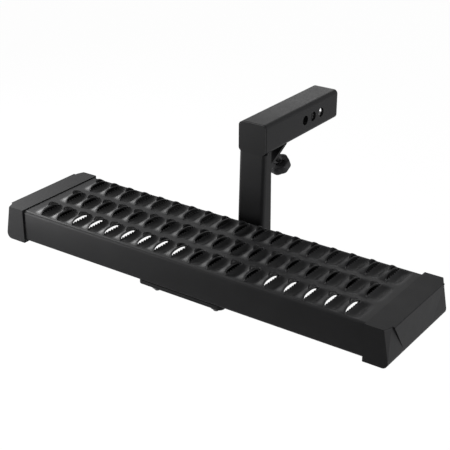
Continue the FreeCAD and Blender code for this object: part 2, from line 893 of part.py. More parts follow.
def elbow_weld(shank):
    """The beads in the grooves between the channel's top and the shank's round corners."""
    body = new_body("elbow_bead_stock", AT_UNDERSIDE)
    side = new_sketch(body, "YZ_Plane", shank_half - size("shank_corner_radius"))
    front = plank_rear_gap + size("end_plate_thickness") + size("elbow_bead_margin")
    rear = channel_top_rear
    height = size("elbow_bead_height")
    draw_box(side, front, rear, 0, height)
    pad(body, side, size("shank_corner_radius"))
    fillet(body, edges_where(
        body, lambda box: near(box.XMin, shank_half) and along(box, "y") and near(box.ZMin, height)),
        height / 3)
    bead = doc.addObject("Part::Cut", "elbow_bead_right")
    bead.Base = body
    bead.Tool = shank
    return pair("elbow_weld", bead)


# Gusset in the corner, and its welds.

def corner_gusset():
    """The flat plate that closes the corner between the channel and the shank."""
    body = new_body("gusset_blank", AT_UNDERSIDE)
    thickness = size("gusset_thickness")
    step_y = thickness / gusset_rise_share
    step_z = thickness / (gusset_run_share + channel_lean * gusset_rise_share)
    top_y = gusset_foot_y + gusset_run
    profile = new_sketch(body, "YZ_Plane")
    draw_polygon(profile, [
        (gusset_foot_y, -gusset_drop), (top_y, 0), (top_y - step_y, 0),
        (gusset_foot_y - channel_lean * step_z, step_z - gusset_drop)])
    pad(body, profile, size("gusset_half_width") * 2, symmetric=True)
    hole = new_body("gusset_hole", AT_KNOB_HOLE)
    lean_to_gusset(hole)
    circle = new_sketch(hole, "XY_Plane")
    draw_circle(circle, (0, 0), size("stud_radius") + size("stud_hole_clearance"))
    pad(hole, circle, thickness * 4, symmetric=True)
    gusset = doc.addObject("Part::Cut", "corner_gusset")
    gusset.Label = "corner_gusset"
    gusset.Base = body
    gusset.Tool = hole
    return gusset


def gusset_weld():
    """Short beads from the gusset's foot to the channel's edges, and one at its top."""
    leg = size("gusset_bead_leg")
    foot = new_body("gusset_foot_bead", AT_UNDERSIDE)
    corner = new_sketch(foot, "YZ_Plane", shank_half - size("channel_gauge"))
    draw_polygon(corner, [
        (gusset_foot_y, -gusset_drop),
        (gusset_foot_y + leg * gusset_run_share, leg * gusset_rise_share - gusset_drop),
        (gusset_foot_y + channel_lean * leg, -gusset_drop - leg)])
    pad(foot, corner, size("gusset_bead_width"))
    top = new_body("gusset_top_bead", AT_UNDERSIDE)
    seam = new_sketch(top, "YZ_Plane")
    top_y = gusset_foot_y + gusset_run
    draw_polygon(seam, [
        (top_y, 0), (top_y + leg, 0),
        (top_y - leg * gusset_run_share, -leg * gusset_rise_share)])
    flat_half = shank_half - size("shank_corner_radius")
    pad(top, seam, flat_half * 2, symmetric=True)
    return gathered("gusset_weld", [pair("gusset_foot_beads", foot), top])


# Clamp knob: all its pieces share an axis square to the gusset's outer face.

def knob_body(name):
    """A body whose own +Z runs out of the gusset along the knob's axis."""
    body = new_body(name, AT_KNOB_HOLE)
    lean_to_gusset(body)
    return body


def gusset_nut():
    """The long nut welded on the gusset's outer face."""
    body = knob_body("gusset_nut")
    outline = new_sketch(body, "XY_Plane")
    draw_hexagon(outline, size("coupling_flats"))
    pad(body, outline, size("coupling_length"))
    bore = new_sketch(body, "XY_Plane", size("coupling_length"))
    draw_circle(bore, (0, 0), size("stud_radius") + size("stud_thread_clearance"))
    pocket(body, bore, size("coupling_length"))
    return body


def knob_stud():
    """The knob's stud, from inside the knob through the long nut into the gusset."""
    body = knob_body("knob_stud")
    tip = -size("stud_tip_depth")
    outline = new_sketch(body, "XY_Plane", tip)
    draw_circle(outline, (0, 0), size("stud_radius"))
    pad(body, outline, size("knob_standoff") + size("stud_embedded") - tip)
    chamfer(body, edges_where(body, lambda box: near(box.ZMax, tip)), size("stud_chamfer"))
    return body


def knob_washer():
    """The loose washer that rests on the end of the knob's hub."""
    body = knob_body("knob_washer")
    outline = new_sketch(body, "XY_Plane", size("knob_standoff") - size("knob_washer_thickness"))
    draw_circle(outline, (0, 0), size("knob_washer_radius"))
    draw_circle(outline, (0, 0), size("stud_radius") + size("knob_washer_clearance"))
    pad(body, outline, size("knob_washer_thickness"))
    return body


def knob_head():
    """The lobed knob, hollow round its hub on the side that faces the gusset."""
    body = knob_body("knob_head")
    face = size("knob_standoff") + size("knob_hub_height")
    end = face + size("knob_thickness")
    disc = new_sketch(body, "XY_Plane", face)
    draw_circle(disc, (0, 0), size("knob_radius"))
    pad(body, disc, size("knob_thickness"))
    scallop = new_sketch(body, "XY_Plane", face)
    draw_circle(scallop, (size("knob_scallop_centre"), 0), size("knob_scallop_radius"))
    cut = pocket(body, scallop, size("knob_thickness"), reversed_way=True)
    lobes = body.newObject("PartDesign::PolarPattern", "knob_lobes")
    lobes.Originals = [cut]
    lobes.Axis = (scallop, ["N_Axis"])
    bind(lobes, "Occurrences", size("knob_lobes"))
    body.Tip = lobes
    doc.recompute()
    chamfer(body, edges_where(body, lambda box: near(box.ZMin, end)), size("knob_edge_cut"))
    chamfer(body, edges_where(body, lambda box: near(box.ZMax, face)), size("knob_edge_cut") / 2)
    hollow = new_sketch(body, "XY_Plane", face)
    draw_circle(hollow, (0, 0), size("knob_rim_radius"))
    draw_circle(hollow, (0, 0), size("knob_hub_radius"))
    pocket(body, hollow, size("knob_hollow_depth"), reversed_way=True)
    hub = new_sketch(body, "XY_Plane", size("knob_standoff"))
    draw_circle(hub, (0, 0), size("knob_hub_radius"))
    pad(body, hub, size("knob_hub_height"))
    bore = new_sketch(body, "XY_Plane", size("knob_standoff"))
    draw_circle(bore, (0, 0), size("stud_radius") + size("stud_seat_clearance"))
    pocket(body, bore, size("stud_embedded"), reversed_way=True)
    return body


cap_right = end_cap_right()
cap_left = mirrored("end_cap_left", cap_right, (1, 0, 0))
rib_right = plate_rib()
rib_left = mirrored("plate_rib_left", rib_right, (1, 0, 0))
shank = receiver_shank()
end_plate = shank_end_plate()

nodes = [
    tread_plank(), cap_right, cap_left, cap_screws(),
    mounting_plate(), rib_right, rib_left, rib_welds(),
    plank_bolts(), plank_washers(), plank_nuts(),
    drop_channel(), foot_weld(),
    shank, end_plate, end_plate_weld(end_plate), elbow_weld(shank),
    corner_gusset(), gusset_weld(),
    gusset_nut(), knob_stud(), knob_washer(), knob_head(),
]

doc.recompute()
for thing in doc.Objects:
    if "Invalid" in thing.State or "Error" in thing.State:
        raise ValueError("%s did not build" % thing.Name)
for node in nodes:
    if node.Shape.isNull() or not node.Shape.isValid():
        raise ValueError("%s has no sound shape" % node.Label)
for node in nodes:
    node.Shape.exportStep("parts/%s.step" % node.Label)
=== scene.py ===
"""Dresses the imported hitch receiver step: its grating, coatings, moulded caps and studio."""

import logging
import math
from dataclasses import dataclass
from enum import Enum
from typing import Callable, Optional, Sequence, Union

import bmesh
import bpy
from mathutils import Matrix, Vector

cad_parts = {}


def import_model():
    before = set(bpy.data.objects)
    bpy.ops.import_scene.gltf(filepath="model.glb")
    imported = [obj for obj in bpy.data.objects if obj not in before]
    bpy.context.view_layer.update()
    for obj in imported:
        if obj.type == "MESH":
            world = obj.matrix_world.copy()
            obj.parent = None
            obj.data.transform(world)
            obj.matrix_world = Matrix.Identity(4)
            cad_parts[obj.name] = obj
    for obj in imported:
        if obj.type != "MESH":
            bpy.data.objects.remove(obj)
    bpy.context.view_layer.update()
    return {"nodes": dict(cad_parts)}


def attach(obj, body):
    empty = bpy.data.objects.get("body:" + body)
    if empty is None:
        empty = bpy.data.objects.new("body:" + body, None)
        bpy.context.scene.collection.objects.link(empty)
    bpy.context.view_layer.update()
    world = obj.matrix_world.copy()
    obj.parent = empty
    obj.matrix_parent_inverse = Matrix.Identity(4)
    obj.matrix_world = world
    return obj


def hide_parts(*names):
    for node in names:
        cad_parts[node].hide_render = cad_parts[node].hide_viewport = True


LOG = logging.getLogger("hitch_step")

# One millimetre in the frame's metres.
MM = 0.001

# Places nearer to each other than this, in metres, count as one.
TOUCH = 0.00002

# Bands that the Wave texture draws per unit of length at Scale 1.
BANDS_PER_UNIT = 3.18

Number = Union[int, float]
Colour = tuple[float, float, float]
Place = tuple[float, float, float]


class Wire:
    """A value socket that takes part in plain Python sums by adding Math nodes."""

    def __init__(self, tree: bpy.types.NodeTree, socket: bpy.types.NodeSocket) -> None:
        """Holds a socket.

        Args:
            tree: The node tree that the socket belongs to.
            socket: The output socket to work with.
        """
        self.tree = tree
        self.socket = socket

    def _math(self, operation: str, *values: "Operand") -> "Wire":
        """Adds one Math node.

        Args:
            operation: The node's operation.
            values: What goes into its sockets, in order.

        Returns:
            The node's result.
        """
        node = self.tree.nodes.new("ShaderNodeMath")
        node.operation = operation
        for slot_number, value in enumerate(values):
            feed(self.tree, node.inputs[slot_number], value)
        return Wire(self.tree, node.outputs[0])

    def __add__(self, other: "Operand") -> "Wire":
        """Sum."""
        return self._math("ADD", self, other)

    def __sub__(self, other: "Operand") -> "Wire":
        """Difference."""
        return self._math("SUBTRACT", self, other)

    def __mul__(self, other: "Operand") -> "Wire":
        """Product."""
        return self._math("MULTIPLY", self, other)

    def __radd__(self, other: Number) -> "Wire":
        """Sum with a number on the left."""
        return self._math("ADD", other, self)

    def __rsub__(self, other: Number) -> "Wire":
        """Difference with a number on the left."""
        return self._math("SUBTRACT", other, self)

    def __rmul__(self, other: Number) -> "Wire":
        """Product with a number on the left."""
        return self._math("MULTIPLY", other, self)

    def clamped(self) -> "Wire":
        """The value held between 0 and 1."""
        return self._math("MINIMUM", self._math("MAXIMUM", self, 0.0), 1.0)


Operand = Union[Wire, Number]


def feed(tree: bpy.types.NodeTree, socket: bpy.types.NodeSocket, value: object) -> None:
    """Links or sets one input socket.

    Args:
        tree: The node tree.
        socket: The input to feed.
        value: A Wire, a socket or a plain value.
    """
    if isinstance(value, Wire):
        tree.links.new(value.socket, socket)
    elif isinstance(value, bpy.types.NodeSocket):
        tree.links.new(value, socket)
    else:
        socket.default_value = value


class Graph:
    """The node tree of one material."""

    def __init__(self, name: str) -> None:
        """Starts an empty material.

        Args:
            name: The material's name.
        """
        self.material = bpy.data.materials.new(name)
        self.material.use_nodes = True
        self.tree = self.material.node_tree
        self.tree.nodes.clear()
        self.coords = self.node("ShaderNodeTexCoord").outputs["Object"]

    @classmethod
    def of_tree(cls, tree: bpy.types.NodeTree) -> "Graph":
        """Wraps the emptied tree of something else, such as the world.

        Args:
            tree: The node tree.

        Returns:
            The graph.
        """
        graph = cls.__new__(cls)
        graph.tree = tree
        tree.nodes.clear()
        return graph

    def seen_directly(self) -> Wire:
        """Tells the rays that see a thing itself from those that only carry its light.

        Returns:
            1 for rays from the camera, from a glossy surface or through glass, otherwise 0.
        """
        path = self.node("ShaderNodeLightPath").outputs
        rays = [Wire(self.tree, path[name]) for name in
                ("Is Camera Ray", "Is Glossy Ray", "Is Transmission Ray")]
        return (rays[0] + rays[1] + rays[2]).clamped()

    def node(self, kind: str, settings: Optional[dict] = None, **inputs: object) -> bpy.types.Node:
        """Adds one node: its settings first, then its inputs.

        Args:
            kind: The node's type.
            settings: Attribute values.
            inputs: Socket names, with underscores for spaces, and their values.

        Returns:
            The node.
        """
        made = self.tree.nodes.new(kind)
        for key, value in (settings or {}).items():
            setattr(made, key, value)
        for key, value in inputs.items():
            feed(self.tree, made.inputs[key.replace("_", " ")], value)
        return made

    def noise(self, scale: float, detail: float = 2.0, roughness: float = 0.5,
              stretch: Place = (1.0, 1.0, 1.0)) -> Wire:
        """A noise pattern on the object's own coordinates.

        Args:
            scale: Cells per metre.
            detail: Octaves.
            roughness: Weight of the finer octaves.
            stretch: Scale along each axis.

        Returns:
            The noise value, about 0.5 in the mean.
        """
        placed = self.node("ShaderNodeMapping", Vector=self.coords, Scale=stretch)
        texture = self.node("ShaderNodeTexNoise", Vector=placed.outputs[0], Scale=scale,
                            Detail=detail, Roughness=roughness)
        return Wire(self.tree, texture.outputs[0])

    def cells(self, scale: float) -> Wire:
        """The distance to the nearest of scattered points.

        Args:
            scale: Cells per metre.

        Returns:
            The distance in cell widths.
        """
        texture = self.node("ShaderNodeTexVoronoi", Vector=self.coords, Scale=scale)
        return Wire(self.tree, texture.outputs["Distance"])

    def tint(self, low: Colour, high: Colour, share: Wire) -> bpy.types.NodeSocket:
        """A colour between two, by a share.

        Args:
            low: The colour at share 0.
            high: The colour at share 1.
            share: The mix.

        Returns:
            The colour socket.
        """
        mix = self.node("ShaderNodeMix", {"data_type": "RGBA"})
        feed(self.tree, mix.inputs["Factor"], share)
        colour_inputs = [s for s in mix.inputs if s.type == "RGBA"]
        colour_inputs[0].default_value = (*low, 1.0)
        colour_inputs[1].default_value = (*high, 1.0)
        return [s for s in mix.outputs if s.type == "RGBA"][0]

    def bump(self, height: Wire, depth: float) -> bpy.types.NodeSocket:
        """A bumped normal.

        Args:
            height: The height pattern, 0 to 1.
            depth: The depth of the pattern in metres.

        Returns:
            The normal socket.
        """
        return self.node("ShaderNodeBump", Height=height, Distance=depth, Strength=1.0).outputs[0]

    def surface(self, **inputs: object) -> bpy.types.Material:
        """Ends the material in one Principled surface.

        Args:
            inputs: Its sockets, with underscores for spaces.

        Returns:
            The finished material.
        """
        shader = self.node("ShaderNodeBsdfPrincipled", **inputs)
        self.node("ShaderNodeOutputMaterial", Surface=shader.outputs[0])
        return self.material


@dataclass(frozen=True)
class PowderCoat:
    """Fine-grained black powder coat on sheet steel."""

    name: str = "powder_coat"
    low: Colour = (0.004, 0.004, 0.0043)
    high: Colour = (0.0095, 0.0095, 0.01)
    roughness: float = 0.48
    sheen: float = 0.08
    grain_scale: float = 1500.0
    grain_depth: float = 0.00006
    grain_share: float = 0.55
    grain_gloss: float = 0.16
    cloud_scale: float = 26.0
    cloud_share: float = 0.6
    cloud_gloss: float = 0.12
    share_drop: float = 0.1

    def make(self) -> bpy.types.Material:
        """Builds the material.

        Returns:
            The material.
        """
        graph = Graph(self.name)
        grain = graph.noise(self.grain_scale, detail=3.0, roughness=0.6)
        cloud = graph.noise(self.cloud_scale, detail=3.0)
        share = (grain * self.grain_share + cloud * self.cloud_share - self.share_drop).clamped()
        rough = (self.roughness + (grain - 0.5) * self.grain_gloss
                 + (cloud - 0.5) * self.cloud_gloss)
        return graph.surface(
            Base_Color=graph.tint(self.low, self.high, share),
            Roughness=rough,
            Specular_IOR_Level=self.sheen,
            Normal=self._relief(graph, grain))

    def _relief(self, graph: Graph, grain: Wire) -> bpy.types.NodeSocket:
        """The bumped normal of the coating.

        Args:
            graph: The material's nodes.
            grain: The grain of the powder.

        Returns:
            The normal socket.
        """
        return graph.bump(grain, self.grain_depth)


@dataclass(frozen=True)
class CoatedWeld(PowderCoat):
    """The same coat over a weld bead, whose overlapping pools show as ripples."""

    name: str = "coated_weld"
    ripple_pitch: float = 0.0024
    ripple_depth: float = 0.0006
    ripple_bend: float = 3.0
    grain_on_ripple: float = 0.1

    def _relief(self, graph: Graph, grain: Wire) -> bpy.types.NodeSocket:
        """The ripples, slanted so that they cross the bead whichever way it runs.

        Args:
            graph: The material's nodes.
            grain: The grain of the powder.

        Returns:
            The normal socket.
        """
        bands = graph.node("ShaderNodeTexWave", {"bands_direction": "DIAGONAL"},
                           Vector=graph.coords, Scale=1.0 / (self.ripple_pitch * BANDS_PER_UNIT),
                           Distortion=self.ripple_bend, Detail=2.0)
        ripple = Wire(graph.tree, bands.outputs[1])
        return graph.bump(ripple + grain * self.grain_on_ripple, self.ripple_depth)


@dataclass(frozen=True)
class MouldedPlastic:
    """Black moulded plastic with a fine leather-like grain."""

    name: str = "moulded_plastic"
    low: Colour = (0.005, 0.005, 0.0053)
    high: Colour = (0.01, 0.01, 0.0105)
    roughness: float = 0.55
    grain_scale: float = 900.0
    grain_depth: float = 0.00008
    sheen: float = 0.07
    pebble_share: float = 0.4
    cloud_scale: float = 40.0
    cloud_share: float = 0.6
    cloud_gloss: float = 0.15

    def make(self) -> bpy.types.Material:
        """Builds the material.

        Returns:
            The material.
        """
        graph = Graph(self.name)
        pebbles = graph.cells(self.grain_scale)
        cloud = graph.noise(self.cloud_scale, detail=4.0)
        share = (pebbles * self.pebble_share + cloud * self.cloud_share).clamped()
        return graph.surface(
            Base_Color=graph.tint(self.low, self.high, share),
            Roughness=self.roughness + (cloud - 0.5) * self.cloud_gloss,
            Specular_IOR_Level=self.sheen,
            Normal=graph.bump(pebbles, self.grain_depth))


@dataclass(frozen=True)
class Steel:
    """Plated or blackened steel of the fasteners."""

    name: str
    low: Colour
    high: Colour
    roughness: float
    metallic: float = 1.0
    cloud_scale: float = 300.0
    cloud_share: float = 0.7
    cloud_gloss: float = 0.2
    turned_scale: float = 90.0
    turned_stretch: Place = (1.0, 1.0, 30.0)
    turned_share: float = 0.4
    turned_depth: float = 0.00002
    share_drop: float = 0.05

    def make(self) -> bpy.types.Material:
        """Builds the material.

        Returns:
            The material.
        """
        graph = Graph(self.name)
        cloud = graph.noise(self.cloud_scale, detail=4.0, roughness=0.6)
        turned = graph.noise(self.turned_scale, stretch=self.turned_stretch)
        share = (cloud * self.cloud_share + turned * self.turned_share - self.share_drop).clamped()
        return graph.surface(
            Base_Color=graph.tint(self.low, self.high, share),
            Metallic=self.metallic,
            Roughness=self.roughness + (cloud - 0.5) * self.cloud_gloss,
            Normal=graph.bump(turned, self.turned_depth))


class Finish(Enum):
    """The finishes of the step."""

    COAT = PowderCoat()
    WELD = CoatedWeld()
    CAP = MouldedPlastic()
    KNOB = MouldedPlastic("knob_plastic", low=(0.008, 0.008, 0.0085), high=(0.014, 0.014, 0.015),
                          roughness=0.42, grain_scale=1100.0, grain_depth=0.00005)
    BLACK_STEEL = Steel("black_oxide", (0.05, 0.05, 0.052), (0.1, 0.1, 0.1), 0.45)
    # Near-black steel for the knob's stud and washer, much darker than zinc plate.
    DARK_STEEL = Steel("near_black_steel", (0.014, 0.014, 0.0145), (0.028, 0.028, 0.029), 0.55)


Materials = dict[Finish, bpy.types.Material]


def close(value: float, other: float, reach: float = TOUCH) -> bool:
    """Whether two numbers are nearly the same."""
    return abs(value - other) < reach


def dress(thing: bpy.types.Object, material: bpy.types.Material) -> None:
    """Gives every slot of an object one material.

    Args:
        thing: The object.
        material: Its material.
    """
    if not thing.material_slots:
        thing.data.materials.append(material)
    for one in thing.material_slots:
        one.material = material


def rest_all() -> None:
    """Leaves edit mode and deselects every object."""
    if bpy.context.mode != "OBJECT":
        bpy.ops.object.mode_set(mode="OBJECT")
    bpy.ops.object.select_all(action="DESELECT")


def take(thing: bpy.types.Object) -> None:
    """Makes one object the only selected and active one.

    Args:
        thing: The object.
    """
    rest_all()
    thing.select_set(True)
    bpy.context.view_layer.objects.active = thing


def pick_vertices(thing: bpy.types.Object, test: Callable[[Vector], bool]) -> int:
    """Selects, in edit mode, the vertices whose place passes a test.

    Args:
        thing: The object, which is in edit mode.
        test: Says yes or no to a place.

    Returns:
        How many were selected.
    """
    bpy.ops.mesh.select_mode(type="VERT")
    bpy.ops.mesh.select_all(action="DESELECT")
    mesh = bmesh.from_edit_mesh(thing.data)
    count = 0
    for vertex in mesh.verts:
        if test(vertex.co):
            vertex.select = True
            count += 1
    mesh.select_flush_mode()
    bmesh.update_edit_mesh(thing.data)
    return count


def pick_edges(thing: bpy.types.Object, test: Callable[[Vector, Vector], bool]) -> None:
    """Selects, in edit mode, the edges whose two ends pass a test.

    Args:
        thing: The object, which is in edit mode.
        test: Says yes or no to the two end places.
    """
    bpy.ops.mesh.select_mode(type="EDGE")
    bpy.ops.mesh.select_all(action="DESELECT")
    mesh = bmesh.from_edit_mesh(thing.data)
    for edge in mesh.edges:
        if test(edge.verts[0].co, edge.verts[1].co):
            edge.select = True
    mesh.select_flush_mode()
    bmesh.update_edit_mesh(thing.data)


def apply_modifier(thing: bpy.types.Object, kind: str, **settings: object) -> None:
    """Adds a modifier and applies it.

    Args:
        thing: The object.
        kind: The modifier's type.
        settings: Its settings.
    """
    take(thing)
    modifier = thing.modifiers.new(kind.lower(), kind)
    for key, value in settings.items():
        setattr(modifier, key, value)
    bpy.ops.object.modifier_apply(modifier=modifier.name)


def settle(thing: bpy.types.Object) -> None:
    """Puts an object's place, turn and size into its mesh.

    Args:
        thing: The object.
    """
    take(thing)
    bpy.ops.object.transform_apply(location=True, rotation=True, scale=True)


def joined(name: str, things: Sequence[bpy.types.Object]) -> bpy.types.Object:
    """Joins several objects into the first.

    Args:
        name: The name of the result.
        things: The objects.

    Returns:
        The one object.
    """
    take(things[0])
    for other in things[1:]:
        other.select_set(True)
    bpy.ops.object.join()
    things[0].name = name
    return things[0]


def smooth_step(share: float) -> float:
    """A share from 0 to 1 that starts and ends level."""
    return share * share * (3.0 - 2.0 * share)


def copied(thing: bpy.types.Object, offset: Place) -> bpy.types.Object:
    """A copy with its own mesh, moved by an offset that goes into the mesh.

    Args:
        thing: The object to copy.
        offset: The move in metres.

    Returns:
        The copy.
    """
    twin = thing.copy()
    twin.data = thing.data.copy()
    bpy.context.collection.objects.link(twin)
    twin.data.transform(Matrix.Translation(offset))
    return twin


@dataclass
class TreadPlank:
    """The folded tread sheet: pressed eyes in rows, bent front and rear walls and inner lips.

    Sizes are in millimetres. A strand is the sheet from one slit to the next, and its lines are
    the places across it where the pressing is worked out. A hole is given by the place of its
    centre from the middle of the tread and by its radius, and is repeated on the left.
    """

    middle: Place = (0.0, -257.6, -136.6)
    length: float = 690.0
    width: float = 180.0
    height: float = 54.5
    gauge: float = 2.5
    bend_radius: float = 5.0
    bend_steps: int = 5
    bend_margin: float = 0.5
    lip: float = 34.0
    pitch: float = 33.65
    columns: int = 18
    rows: int = 3
    row_pitch: float = 60.0
    slit_length: float = 48.0
    arch_power: float = 3.0
    station: float = 3.0
    rim_width: float = 3.2
    rim_bulge: float = 3.8
    rim_rise: float = 5.4
    rim_crown: float = 0.4
    dish_width: float = 20.0
    dish_depth: float = 4.0
    ridge_start: float = 17.0
    tooth_height: float = 3.6
    edge_rise: float = -1.0
    gap_width: float = 4.0
    gap_lift: float = 4.0
    gap_edge: int = 4
    cutter_gauges: float = 3.0
    dish_lines: tuple[float, ...] = (0.0, 1.2, 4.0, 7.5, 11.0, 14.5, 18.0, 21.5, 25.0)
    first_lines: tuple[float, ...] = (0.0, 8.0, 14.5, 18.0, 21.5, 25.0)
    last_lines: tuple[float, ...] = (28.5, 36.0)
    holes: tuple[Place, ...] = ((57.0, 68.0, 5.26), (57.0, -68.0, 5.26),
                                (333.0, 73.0, 2.15), (333.0, -73.0, 2.15))
    hole_points: int = 24
    smooth_below: float = 35.0

    def _arch(self, y: float) -> float:
        """How far a place along a slit takes part in the pressing, 0 at its ends and 1 midway."""
        reach = self.slit_length / 2
        return max(0.0, 1.0 - abs(y / reach) ** self.arch_power)

    def _rear_lens(self, y: float) -> float:
        """The outline of the second opening, which lies over the rear half of the rim."""
        quarter = self.slit_length / 4
        return max(0.0, 1.0 - ((y - quarter) / quarter) ** 2)

    def _strip(self, lines: Sequence[float]) -> bpy.types.Object:
        """A flat strip of sheet as long as a row is deep, with its long lines at given places.

        Args:
            lines: The places of the long lines, in millimetres from the slit on the left.

        Returns:
            The strip.
        """
        rest_all()
        bpy.ops.mesh.primitive_grid_add(
            x_subdivisions=1, y_subdivisions=round(self.row_pitch / self.station), size=1.0)
        strip = bpy.context.object
        strip.scale = ((lines[1] - lines[0]) * MM, self.row_pitch * MM, 1.0)
        strip.location = ((lines[0] + lines[1]) / 2 * MM, 0.0, 0.0)
        settle(strip)
        bpy.ops.object.mode_set(mode="EDIT")
        for near_line, far_line in zip(lines[1:], lines[2:]):
            edge = near_line * MM
            pick_edges(strip, lambda a, b: close(a.x, edge) and close(b.x, edge))
            bpy.ops.mesh.extrude_region_move(
                TRANSFORM_OT_translate={"value": ((far_line - near_line) * MM, 0.0, 0.0)})
        bpy.ops.object.mode_set(mode="OBJECT")
        return strip

    def _press(self, strip: bpy.types.Object, lines: Sequence[float],
               shape: Callable[[float, float], tuple[float, float]]) -> None:
        """Presses a strip: each crossing of a long line and a station is moved to its place.

        Args:
            strip: The flat strip.
            lines: The places of its long lines.
            shape: The sideways move and the rise at a line and a place along the slit.
        """
        take(strip)
        bpy.ops.object.mode_set(mode="EDIT")
        half_count = round(self.slit_length / 2 / self.station)
        stations = [k * self.station for k in range(1 - half_count, half_count)]
        for line in reversed(lines) if lines[0] == 0.0 else lines:
            for y in stations:
                shift, rise = shape(line, y)
                here = Vector((line * MM, y * MM, 0.0))
                if pick_vertices(strip, lambda place: (place - here).length < TOUCH):
                    bpy.ops.transform.translate(value=(shift * MM, 0.0, rise * MM))
        bpy.ops.object.mode_set(mode="OBJECT")

    def _strand_shape(self, x: float, y: float, dish: float,
                      ridge: float) -> tuple[float, float]:
        """The pressing of the wide part of a strand: teeth, dish and the slope to the rim.

        Args:
            x: The distance from the slit on the left.
            y: The place along the slit.
            dish: How much of the dish is pressed.
            ridge: How much of the slope to the next rim is pressed.

        Returns:
            The sideways move and the rise.
        """
        arch = self._arch(y)
        reach = self.pitch - self.rim_width
        depth = math.sin(math.pi * min(x / self.dish_width, 1.0)) if x > 0.0 else 0.0
        share = min(max((x - self.ridge_start) / (reach - self.ridge_start), 0.0), 1.0)
        rise = arch * (ridge * self.rim_rise * smooth_step(share)
                       - dish * self.dish_depth * depth)
        shift = -ridge * self.rim_bulge * arch * (max(x, 0.0) / reach) ** 2
        if x == 0.0 and dish:
            rise += self.edge_rise * arch
            rise += self.tooth_height * (round(y / self.station) % 2)
        gap = ridge * self._rear_lens(y) * share ** self.gap_edge
        return shift - self.gap_width * gap, rise + self.gap_lift * gap

    def _rim_shape(self, x: float, y: float) -> tuple[float, float]:
        """The pressing of the narrow rim that arches over the next slit.

        Args:
            x: The distance from the slit on the left.
            y: The place along the slit.

        Returns:
            The sideways move and the rise.
        """
        crown = self.rim_crown if close(x, self.pitch - self.rim_width / 2) else 0.0
        arch = self._arch(y)
        return -self.rim_bulge * arch, (self.rim_rise + crown) * arch

    def _strand(self, lines: Sequence[float], dish: float, ridge: float) -> bpy.types.Object:
        """One strand with the rim on its right, if it has one.

        Args:
            lines: The places of its long lines, without the rim's.
            dish: How much of the dish is pressed.
            ridge: How much of the slope to the rim is pressed.

        Returns:
            The pressed strand.
        """
        wide = self._strip(lines)
        self._press(wide, lines, lambda x, y: self._strand_shape(x, y, dish, ridge))
        if not ridge:
            return wide
        rim_lines = [self.pitch - self.rim_width * part for part in (1.0, 0.5, 0.0)]
        rim = self._strip(rim_lines)
        self._press(rim, rim_lines, self._rim_shape)
        return joined("strand", [wide, rim])

    def _grating(self) -> bpy.types.Object:
        """All strands of the tread, joined into one sheet.

        Returns:
            The sheet, still without thickness.
        """
        reach = self.pitch - self.rim_width
        first_slit = -self.pitch * (self.columns - 1) / 2
        end_room = self.length / 2 + first_slit
        kinds = [
            (self._strand((self.pitch - end_room, *self.first_lines, reach), dish=0.0, ridge=1.0),
             [first_slit - self.pitch]),
            (self._strand((*self.dish_lines, reach), dish=1.0, ridge=1.0),
             [first_slit + self.pitch * k for k in range(self.columns - 1)]),
            (self._strand((*self.dish_lines, *self.last_lines, end_room), dish=1.0, ridge=0.0),
             [-first_slit])]
        pieces = []
        for strand, places in kinds:
            for x in places:
                for row in range(self.rows):
                    y = self.row_pitch * (row - (self.rows - 1) / 2)
                    pieces.append(copied(strand, (x * MM, y * MM, 0.0)))
            bpy.data.objects.remove(strand, do_unlink=True)
        sheet = joined("tread_grating", pieces)
        take(sheet)
        bpy.ops.object.mode_set(mode="EDIT")
        bpy.ops.mesh.select_all(action="SELECT")
        bpy.ops.mesh.remove_doubles(threshold=TOUCH)
        return sheet

    def _side_path(self) -> list[tuple[float, float]]:
        """The section of one side from the tread's edge round both bends to the lip's end.

        Returns:
            The places along the section, each its distance from the middle and its height.
        """
        radius = self.bend_radius
        edge = self.width / 2 - radius
        path = [(edge, 0.0)]
        for drop, start in ((-radius, 0.0), (radius - self.height, 90.0)):
            for k in range(self.bend_steps + 1):
                turn = math.radians(start + 90.0 * k / self.bend_steps)
                path.append((edge + radius * math.sin(turn), drop + radius * math.cos(turn)))
        path.append((self.width / 2 - self.lip, -self.height))
        return path

    def _fold(self, sheet: bpy.types.Object) -> None:
        """Draws the tread's edges in to the bends and folds the walls and lips down.

        Args:
            sheet: The grating, in edit mode.
        """
        path = self._side_path()
        edge = path[0][0]
        for side in (-1.0, 1.0):
            outer = self.width / 2
            for old, new in ((outer - self.station, edge - self.bend_margin), (outer, edge)):
                pick_vertices(sheet, lambda place: close(place.y, side * old * MM))
                bpy.ops.transform.translate(value=(0.0, side * (new - old) * MM, 0.0))
            for (y, z), (next_y, next_z) in zip(path[1:], path[2:]):
                pick_edges(sheet, lambda a, b: all(
                    close(p.y, side * y * MM) and close(p.z, z * MM) for p in (a, b)))
                bpy.ops.mesh.extrude_region_move(TRANSFORM_OT_translate={
                    "value": (0.0, side * (next_y - y) * MM, (next_z - z) * MM)})
        bpy.ops.mesh.select_all(action="SELECT")
        bpy.ops.mesh.normals_make_consistent(inside=False)
        bpy.ops.object.mode_set(mode="OBJECT")
        top = max(sheet.data.polygons, key=lambda face: face.center.z)
        if top.normal.z < 0.0:
            sheet.data.flip_normals()

    def _holes(self) -> bpy.types.Object:
        """The round cutters of the holes in the lips.

        Returns:
            The cutters, joined.
        """
        cutters = []
        for x, y, radius in self.holes:
            for side in (-1.0, 1.0):
                rest_all()
                bpy.ops.mesh.primitive_cylinder_add(
                    vertices=self.hole_points, radius=radius * MM,
                    depth=self.gauge * self.cutter_gauges * MM,
                    location=(side * x * MM, y * MM, (self.gauge / 2 - self.height) * MM))
                cutters.append(bpy.context.object)
        cutter = joined("lip_holes", cutters)
        settle(cutter)
        return cutter

